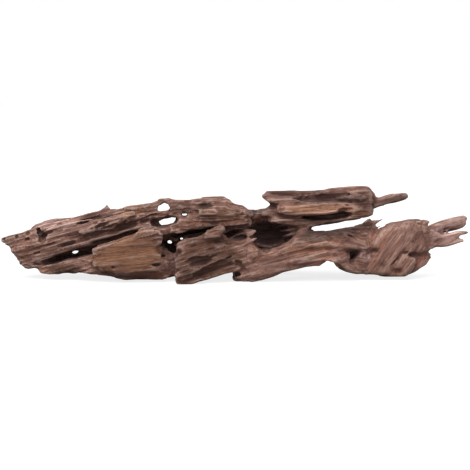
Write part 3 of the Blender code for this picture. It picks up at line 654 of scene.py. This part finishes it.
def keepLargest(obj):
    # drops loose crumbs: each point takes the lowest number that its neighbours lead to
    pairs = edgePairs(obj.data)
    label = np.arange(len(obj.data.vertices))
    while True:
        low = np.minimum(label[pairs[:, 0]], label[pairs[:, 1]])
        lower = label.copy()
        np.minimum.at(lower, label[pairs[:, 0]], low)
        np.minimum.at(lower, label[pairs[:, 1]], low)
        lower = lower[lower]
        if (lower == label).all():
            break
        label = lower
    crumbs = np.nonzero(label != np.bincount(label).argmax())[0]
    if len(crumbs):
        bm = bmesh.new()
        bm.from_mesh(obj.data)
        bm.verts.ensure_lookup_table()
        bmesh.ops.delete(bm, geom=[bm.verts[i] for i in crumbs], context="VERTS")
        bm.to_mesh(obj.data)
        bm.free()


def thin(obj, faces):
    count = sum(len(face.vertices) - 2 for face in obj.data.polygons)
    if count > faces:
        fewer = obj.modifiers.new("fewer", "DECIMATE")
        fewer.ratio = faces / count
        fewer.use_collapse_triangulate = True
        applyAll(obj)


wood = copyOfSolid("honeycomb_wood", "weathered_wood_skin")
remesh(wood, skin["firstCell"] * mm)
softenFacets(wood.data)
calmSkin(wood.data)
report(f"base skin {len(wood.data.vertices)} points")
tree = BVHTree.FromObject(wood, bpy.context.evaluated_depsgraph_get())
gouge = makeGouge()
slivers = newGroup("slivers")
growSplinters(gouge, tree, slivers)
cutters = newGroup("cutters")
seenCuts(gouge, tree, cutters)
openWindows(gouge, cutters)
gnawAllRound(gouge, tree, cutters)
bpy.data.objects.remove(gouge)
combine(wood, slivers, "UNION")
combine(wood, cutters, "DIFFERENCE")
report("splinters and cuts made")
remesh(wood, skin["lastCell"] * mm)
workGrain(wood)
remesh(wood, skin["lastCell"] * mm)
keepLargest(wood)
report(f"grained skin {len(wood.data.vertices)} points")
thin(wood, skin["faces"])
report(f"thinned skin {len(wood.data.polygons)} faces")


# Rays that measure how much of the sky the wood hides at each point; the material paints shade in
# the hollows from it.
hiding = {
    "rays": 16,
    "quickRays": 9,
    "reach": 0.040,      # how far the rays look, in metres
    "lift": 0.0004,      # how far over the skin they start, in metres
    "blend": 2,
}


def hiddenShare(obj, points, normals):
    # share of the half-sphere over each point that the wood itself hides
    rays = hiding["rays"]
    faces = [tuple(face.vertices) for face in obj.data.polygons]
    tree = BVHTree.FromPolygons([tuple(point) for point in points], faces)
    golden = math.pi * (3 - math.sqrt(5))
    fan = []
    for k in range(rays):
        up = math.sqrt(1 - (k + 0.5) / rays)
        side = math.sqrt(1 - up * up)
        fan.append((side * math.cos(golden * k), side * math.sin(golden * k), up))
    hidden = np.zeros(len(points))
    for i, (point, normal) in enumerate(zip(points, normals)):
        n = Vector(normal)
        turn = n.to_track_quat("Z", "Y")
        start = Vector(point) + n * hiding["lift"]
        hit = 0.0
        for ray in fan:
            distance = tree.ray_cast(start, turn @ Vector(ray), hiding["reach"])[3]
            if distance is not None:
                hit += 1 - distance / hiding["reach"]
        hidden[i] = hit / rays
    return hidden


def writeValue(mesh, name, values):
    layer = mesh.attributes.new(name, "FLOAT", "POINT")
    layer.data.foreach_set("value", values.astype(np.float32))


def writeVector(mesh, name, values):
    layer = mesh.attributes.new(name, "FLOAT_VECTOR", "POINT")
    layer.data.foreach_set("vector", values.astype(np.float32).ravel())


# Patches of another tone: x, z, half length, half height, climb, back limit, then how tan, how red,
# how mauve and how bright. The brightness is partly the wood's own tone and partly painted light
# and
# shade: the up-facing ledge is lightened as lit from above, and the knee and the limb's foot
# against their shade.
tonePatches = {
    "tip": (16, 43, 12, 6, 12, 4, 0, 0, 0.1, 0.9),
    "wallTop": (58, 56, 26, 7, 12, 4, 0, 0, 0.8, 1.5),
    "wallMiddle": (92, 42, 34, 9, 16, 4, 0.1, 0.2, 0.1, 0.85),
    "wallLow": (42, 28, 24, 12, 14, 4, 0, 0.1, 0, 0.8),
    "lowStrand": (66, 13, 26, 6, 2, 4, 0.6, 0.5, 0, 0.4),
    "strandEnd": (47, 10, 8, 5, 0, 4, 0.7, 0.5, 0, 1.4),
    "plate": (129, 30, 42, 25, 6, -10, 1.0, 0.1, 0, 0.84),
    "plateTop": (150, 44, 22, 9, 10, -10, 0.1, 0.1, 0, 0.76),
    "underPlate": (134, 6, 44, 9, 0, -2, 1.0, 0.9, 0, 0.5),
    "tanRib": (133, 68, 16, 5, 12, -4, 1.0, 0, 0, 1.1),
    "tanBlock": (208, 69, 10, 6, 0, -4, 1.0, 0, 0, 0.78),
    "scab": (232, 67, 18, 6, -6, -4, 0.6, 0, 0, 0.62),
    "humpLeft": (180, 72, 14, 9, 6, 6, 0, 0.1, 0, 0.52),
    "humpRidge": (210, 80, 22, 6, 4, 12, 0, 0, 0, 0.86),
    "humpSlot": (204, 74.5, 10, 2.6, 4, 0, 0, 0, 0, 0.4),
    "humpLow": (214, 58, 40, 6, 4, 4, 0.5, 0.6, 0, 0.72),
    "middleWall": (210, 26, 38, 30, 12, -10, 0.35, 0.2, 0, 0.54),
    "redKnob": (187, 8, 10, 9, 0, 0, 0, 0.8, 0, 0.44),
    "neck": (259, 69, 13, 6, 10, 20, 0, 0, 0.8, 0.66),
    "limbNose": (250, 20, 16, 18, 10, 4, 0, 0, 0, 1.3),
    "limbMiddle": (318, 38, 36, 9, 8, 4, 0.4, 0.1, 0, 1.3),
    # Painted light: the limb's foot is lightened against the painted underside shade.
    "limbFoot": (322, 20, 18, 8, 10, 4, 0, 0.3, 0, 2.0),
    # Painted light, with a tan tone: the up-facing ledge is lightened as lit from above.
    "ledge": (318, 71, 48, 6, 2, 6, 0.75, 0, 0, 1.25),
    "ledgeUnder": (330, 67, 44, 4, 2, 6, 0.4, 0, 0, 1.3),
    "plankTop": (300, 88, 40, 6, 3, 20, 0, 0.2, 0, 0.52),
    "plankEnd": (364, 80, 12, 16, 0, 20, 0, 0.15, 0, 0.72),
    "plankTrough": (330, 81, 42, 5, 3, 10, 0, 0.1, 0.4, 0.62),
    "lip": (305, 58, 40, 5, 6, 20, 0, 0.2, 0, 0.62),
    "topFinger": (390, 77, 26, 8, 16, 20, 0, 0, 0.7, 0.82),
    "blade": (335, 49, 46, 8, 5, 12, 0, 0, 0, 0.38),
    "knotFace": (392, 40, 24, 22, 0, 8, 0, 0.05, 0, 1.15),
    "knotMiddle": (384, 42, 18, 9, 10, 4, 0, 0, 0, 1.15),
    # Painted light: the knee is lightened against the shadow of the overhang.
    "knee": (363, 26, 8, 9, 0, 4, 0, 0, 0.9, 1.7),
    "lobe": (422, 18, 12, 8, 20, 4, 0, 0.5, 0, 1.1),
    "bigFinger": (450, 53, 26, 9, 16, 20, 0, 0, 1.0, 1.3),
    "lowFingers": (450, 40, 26, 8, 10, 20, 0, 0.2, 0.85, 1.65),
}
toneEdge = {"ragged": 0.35, "patch": (12, 6, 4), "seed": 21, "fade": 0.6}


def toneMasks(table):
    # how tan, red and mauve each row is, and how bright: partly tone, partly painted light and
    # shade
    tones, toneAndLight = np.zeros((len(table), 3)), np.ones(len(table))
    x, y, z = table.T
    edge = toneEdge["ragged"] * latticeNoise(table / toneEdge["patch"], toneEdge["seed"])
    for x0, z0, halfX, halfZ, climb, back, *tone, light in tonePatches.values():
        c, s = math.cos(math.radians(climb)), math.sin(math.radians(climb))
        u = ((x - x0) * c + (z - z0) * s) / halfX
        v = ((z - z0) * c - (x - x0) * s) / halfZ
        inside = softStep(1 - u * u - v * v + edge, 0.0, toneEdge["fade"]) * (y < back)
        tones = np.maximum(tones, inside[:, None] * tone)
        toneAndLight *= 1 + inside * (light - 1)
    return *tones.T, toneAndLight


# Painted shade: the great hollow's inside is painted dark, as the light hardly reaches it.
greatHollow = {
    "x": 270,
    "z": 45,
    "halfLength": 20,
    "halfHeight": 15,
    "edge": 0.4,
    "mouth": -6,        # the y where the painted shade begins
    "fade": 9,          # the way in over which it grows
    "end": 28,          # the y where it stops
    "strength": 1.2,
}


def hollowShadeShare(table):
    # how much of the great hollow's painted shade each row has
    x, y, z = table.T
    u = (x - greatHollow["x"]) / greatHollow["halfLength"]
    v = (z - greatHollow["z"]) / greatHollow["halfHeight"]
    inward = softStep(y, greatHollow["mouth"], greatHollow["mouth"] + greatHollow["fade"])
    return softStep(1 - u ** 2 - v ** 2, 0, greatHollow["edge"]) * inward * (y < greatHollow["end"])


ridges = {"broadRounds": 14, "fineRounds": 3, "broad": 0.55, "fine": 1.3}
streaking = {"rough": (0.16, 0.7), "share": (0.45, 1.0), "blend": 8}    # stronger on rough skin
upBlend = 4


def ridgeShare(points, normals, pairs):
    # 0 in the grooves and 1 on the crests
    broad = ((points - spread(points, pairs, ridges["broadRounds"])) * normals).sum(1) / mm
    fine = ((points - spread(points, pairs, ridges["fineRounds"])) * normals).sum(1) / mm
    return np.clip(0.5 + ridges["broad"] * broad + ridges["fine"] * fine, 0, 1)


def writeAttributes(obj):
    # what the material reads at each point of the skin
    mesh = obj.data
    points, normals, pairs = readPoints(mesh), readNormals(mesh), edgePairs(mesh)
    table = tablePoints(points)
    writeVector(mesh, "grain", grainCoordinates(table))
    # The ridge share paints highlights on the crests and shade in the grooves.
    writeValue(mesh, "ridge", ridgeShare(points, normals, pairs))
    # Painted shade: the share of the sky that the wood hides, raised in the great hollow, darkens
    # the colour in hollows and crevices.
    hidden = hiddenShare(obj, points, normals)
    hidden = np.maximum(hidden, greatHollow["strength"] * hollowShadeShare(table))
    writeValue(mesh, "hidden", spread(hidden, pairs, hiding["blend"]))
    # Painted shade: the up share darkens the undersides.
    writeValue(mesh, "up", 0.5 + 0.5 * spread(normals, pairs, upBlend)[:, 2])
    for name, values in zip(("tan", "red", "mauve", "toneAndLight"), toneMasks(table)):
        writeValue(mesh, name, values)
    lively = np.interp(roughShare(table), streaking["rough"], streaking["share"])
    writeValue(mesh, "lively", spread(lively, pairs, streaking["blend"]))


writeAttributes(wood)
report("attributes written")

nodeGrid = {"columns": 12, "across": 220, "down": 160, "left": 300}


class Nodes:
    # small helper that lays out a material's nodes
    def __init__(self, material):
        material.use_nodes = True
        self.tree = material.node_tree
        self.shader = self.tree.nodes["Principled BSDF"]
        self.count = 0

    def add(self, kind, **settings):
        node = self.tree.nodes.new(kind)
        self.count += 1
        row, column = divmod(self.count, nodeGrid["columns"])
        node.location = (-nodeGrid["across"] * column - nodeGrid["left"], -nodeGrid["down"] * row)
        for name, value in settings.items():
            setattr(node, name, value)
        return node

    def link(self, source, target):
        self.tree.links.new(source, target)

    def value(self, name):
        return self.add("ShaderNodeAttribute", attribute_name=name).outputs["Fac"]

    def noise(self, vector, scale, detail, roughness):
        stretch = self.add("ShaderNodeMapping")
        stretch.inputs["Scale"].default_value = scale
        self.link(vector, stretch.inputs["Vector"])
        texture = self.add("ShaderNodeTexNoise")
        texture.inputs["Scale"].default_value = 1.0
        texture.inputs["Detail"].default_value = detail
        texture.inputs["Roughness"].default_value = roughness
        self.link(stretch.outputs["Vector"], texture.inputs["Vector"])
        return texture.outputs["Fac"]

    def range(self, value, low, high, first, last):
        node = self.add("ShaderNodeMapRange")
        node.inputs["From Min"].default_value = low
        node.inputs["From Max"].default_value = high
        node.inputs["To Min"].default_value = first
        node.inputs["To Max"].default_value = last
        self.link(value, node.inputs["Value"])
        return node.outputs["Result"]

    def math(self, kind, a, b):
        node = self.add("ShaderNodeMath", operation=kind)
        for socket, value in zip(node.inputs, (a, b)):
            if isinstance(value, (int, float)):
                socket.default_value = value
            else:
                self.link(value, socket)
        return node.outputs["Value"]

    def scale(self, colour, factor):
        node = self.add("ShaderNodeVectorMath", operation="SCALE")
        self.link(colour, node.inputs[0])
        self.link(factor, node.inputs["Scale"])
        return node.outputs["Vector"]

    def mix(self, share, first, second):
        node = self.add("ShaderNodeMix", data_type="RGBA")
        self.link(share, node.inputs[0])
        for socket, colour in ((node.inputs[6], first), (node.inputs[7], second)):
            if isinstance(colour, tuple):
                socket.default_value = (*colour, 1.0)
            else:
                self.link(colour, socket)
        return node.outputs[2]


woodFinish = {
    "heart": (0.262, 0.122, 0.088),
    "grey": (0.240, 0.136, 0.114),
    # A light colour for the grain's light streaks and fibres, and for the painted highlight on the
    # ridges.
    "light": (0.380, 0.215, 0.158),
    # A dim colour for the grain's dark streaks, fibres and cracks, and for the painted shade in the
    # grooves and on the undersides.
    "dimWoodAndShade": (0.105, 0.045, 0.033),
    "tan": (0.365, 0.168, 0.080),
    "red": (0.270, 0.085, 0.055),
    "mauve": (0.290, 0.190, 0.180),
    # Painted highlight: the pale colour of the crests.
    "highlightPale": (0.640, 0.470, 0.410),
    # Painted shade: the colour that hollows and crevices are darkened to.
    "hollowShade": (0.120, 0.068, 0.062),
    # Painted shade: the darkest colour, for the great hollow and the most hidden crevices.
    "deepestShade": (0.060, 0.038, 0.034),
    "roughness": 0.8,
    "shine": 0.25,
    "crackShare": 0.6,
    "fibreBump": 0.6,
    "streakBump": 0.8,
    "crackBump": 0.3,
    "bumpStrength": 0.8,
    "bumpDistance": 1.0,
}
# How closely each noise repeats along, across and through the grain, its detail and its roughness.
woodNoises = {
    "broad": ((0.018, 0.09, 0.08), 3, 0.55),
    "streak": ((0.022, 0.42, 0.35), 4, 0.55),
    "fibre": ((0.035, 0.95, 0.9), 4, 0.65),
    "seam": ((0.02, 0.55, 0.5), 2, 0.55),
}
# The two values that each tone fades between, and its share at the first and at the second.
woodFades = {
    "grey": (0.38, 0.62, 0.0, 1.0),
    "patchy": (0.25, 0.6, 0.45, 1.0),
    "lightStreak": (0.50, 0.72, 0.0, 0.6),
    "dimStreak": (0.48, 0.30, 0.0, 0.75),
    # Painted highlight on the ridges and crests, by the ridge share.
    "ridgeHighlight": (0.55, 0.95, 0.0, 0.35),
    "crestHighlight": (0.82, 1.0, 0.0, 0.55),
    # Painted shade in the grooves, by the ridge share.
    "grooveShade": (0.50, 0.10, 0.0, 0.7),
    "crack": (0.0, 0.035, 1.0, 0.0),
    "dimFibre": (0.30, 0.5, 0.9, 0.0),
    "lightFibre": (0.52, 0.70, 0.0, 0.6),
    # Painted shade on the undersides, by the up share.
    "undersideShade": (0.42, 0.05, 0.0, 0.6),
    # Painted shade in the hollows and crevices, by the hidden share.
    "hollowShade": (0.16, 0.75, 0.0, 0.95),
    # Painted shade, darkest in the great hollow.
    "deepestShade": (0.85, 1.15, 0.0, 0.7),
}


def makeWoodMaterial():
    material = bpy.data.materials.new("weathered_wood")
    n = Nodes(material)

    def fade(source, name):
        return n.range(source, *woodFades[name])

    def tint(colour, share, name):
        return n.mix(share, colour, woodFinish[name])

    grain = n.add("ShaderNodeAttribute", attribute_name="grain").outputs["Vector"]
    broad = n.noise(grain, *woodNoises["broad"])
    streak = n.noise(grain, *woodNoises["streak"])
    fibre = n.noise(grain, *woodNoises["fibre"])
    colour = tint(woodFinish["heart"], fade(broad, "grey"), "grey")
    patchy = fade(streak, "patchy")
    for name in ("tan", "red"):
        colour = tint(colour, n.math("MULTIPLY", n.value(name), patchy), name)
    colour = tint(colour, n.value("mauve"), "mauve")
    lively = n.value("lively")
    colour = tint(colour, n.math("MULTIPLY", fade(streak, "lightStreak"), lively), "light")
    colour = tint(colour, n.math("MULTIPLY", fade(streak, "dimStreak"), lively), "dimWoodAndShade")
    ridge = n.value("ridge")
    # Painted highlight on the ridges, paler on the crests.
    colour = tint(colour, fade(ridge, "ridgeHighlight"), "light")
    colour = tint(colour, n.math("MULTIPLY", fade(ridge, "crestHighlight"), lively), "highlightPale")
    # Painted shade in the grooves.
    colour = tint(colour, fade(ridge, "grooveShade"), "dimWoodAndShade")
    seam = n.math("ABSOLUTE", n.math("SUBTRACT", n.noise(grain, *woodNoises["seam"]), 0.5), 0.0)
    crack = fade(seam, "crack")
    colour = tint(colour, n.math("MULTIPLY", crack, woodFinish["crackShare"]), "dimWoodAndShade")
    colour = tint(colour, fade(fibre, "dimFibre"), "dimWoodAndShade")
    colour = tint(colour, fade(fibre, "lightFibre"), "light")
    # Painted shade on the undersides.
    colour = tint(colour, fade(n.value("up"), "undersideShade"), "dimWoodAndShade")
    # Brightness by patch: partly the wood's tone, partly painted light and shade.
    colour = n.scale(colour, n.value("toneAndLight"))
    hidden = n.value("hidden")
    # Painted shade in the hollows and crevices.
    colour = tint(colour, fade(hidden, "hollowShade"), "hollowShade")
    # Painted shade, darkest in the great hollow.
    colour = tint(colour, fade(hidden, "deepestShade"), "deepestShade")
    n.link(colour, n.shader.inputs["Base Color"])
    n.shader.inputs["Roughness"].default_value = woodFinish["roughness"]
    n.shader.inputs["Specular IOR Level"].default_value = woodFinish["shine"]
    raised = n.math("MULTIPLY", fibre, woodFinish["fibreBump"])
    height = n.math("ADD", raised, n.math("MULTIPLY", streak, woodFinish["streakBump"]))
    height = n.math("SUBTRACT", height, n.math("MULTIPLY", crack, woodFinish["crackBump"]))
    bump = n.add("ShaderNodeBump")
    bump.inputs["Strength"].default_value = woodFinish["bumpStrength"]
    bump.inputs["Distance"].default_value = woodFinish["bumpDistance"] * mm
    n.link(height, bump.inputs["Height"])
    n.link(bump.outputs["Normal"], n.shader.inputs["Normal"])
    return material


wood.data.materials.clear()
wood.data.materials.append(makeWoodMaterial())
onlyActive(wood)
bpy.ops.object.shade_smooth()
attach(wood, "root")
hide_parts("honeycomb_wood")

studio = {
    "floorSize": 14.0,
    "floorColour": (0.3, 0.3, 0.3),
    "floorRoughness": 0.9,
    "bounceColour": (0.42, 0.41, 0.40),     # what the wood sees of the floor
    "floorGlow": 0.80,
    "skyStrength": 0.54,
    "keyStrength": 2.6,
    "keyAngle": 50.0,
    "keyPlace": (-0.35, -0.75, 1.5),
}


def makeFloorMaterial():
    # the camera sees a bright floor, while the wood gets a weaker light back from it
    paper = bpy.data.materials.new("pale_floor")
    n = Nodes(paper)
    n.shader.inputs["Base Color"].default_value = (*studio["floorColour"], 1.0)
    n.shader.inputs["Roughness"].default_value = studio["floorRoughness"]
    n.shader.inputs["Specular IOR Level"].default_value = 0.0
    n.shader.inputs["Emission Color"].default_value = (1.0, 1.0, 1.0, 1.0)
    n.shader.inputs["Emission Strength"].default_value = studio["floorGlow"]
    dull = n.add("ShaderNodeBsdfDiffuse")
    dull.inputs["Color"].default_value = (*studio["bounceColour"], 1.0)
    either = n.add("ShaderNodeMixShader")
    n.link(n.add("ShaderNodeLightPath").outputs["Is Camera Ray"], either.inputs["Fac"])
    n.link(dull.outputs["BSDF"], either.inputs[1])
    n.link(n.shader.outputs["BSDF"], either.inputs[2])
    n.link(either.outputs["Shader"], n.tree.nodes["Material Output"].inputs["Surface"])
    return paper


def makeSky():
    # an even soft light, with a white backdrop for the camera
    world = bpy.data.worlds.new("soft_room")
    world.use_nodes = True
    tree = world.node_tree
    soft = tree.nodes["Background"]
    soft.inputs["Color"].default_value = (1.0, 1.0, 1.0, 1.0)
    soft.inputs["Strength"].default_value = studio["skyStrength"]
    white = tree.nodes.new("ShaderNodeBackground")
    white.inputs["Color"].default_value = (1.0, 1.0, 1.0, 1.0)
    white.inputs["Strength"].default_value = 1.0
    either = tree.nodes.new("ShaderNodeMixShader")
    path = tree.nodes.new("ShaderNodeLightPath")
    tree.links.new(path.outputs["Is Camera Ray"], either.inputs["Fac"])
    tree.links.new(soft.outputs["Background"], either.inputs[1])
    tree.links.new(white.outputs["Background"], either.inputs[2])
    tree.links.new(either.outputs["Shader"], tree.nodes["World Output"].inputs["Surface"])
    scene.world = world


def makeStudio():
    bpy.ops.object.select_all(action="DESELECT")
    bpy.ops.mesh.primitive_plane_add(size=studio["floorSize"], location=(0, 0, 0))
    floor = bpy.context.object
    floor.name = "floor"
    floor.data.materials.append(makeFloorMaterial())
    makeSky()
    bpy.ops.object.light_add(type="SUN", location=studio["keyPlace"])
    key = bpy.context.object
    key.name = "key_light"
    key.data.energy = studio["keyStrength"]
    key.data.angle = math.radians(studio["keyAngle"])
    key.rotation_euler = (-Vector(studio["keyPlace"])).to_track_quat("-Z", "Y").to_euler()


def makeCamera():
    bpy.ops.object.camera_add(location=cameraPlace)
    camera = bpy.context.object
    camera.name = "camera"
    camera.data.lens = view["lens"]
    camera.rotation_euler = ahead.to_track_quat("-Z", "Y").to_euler()
    scene.camera = camera


makeStudio()
makeCamera()
scene.view_settings.view_transform = "Standard"
report("studio ready")
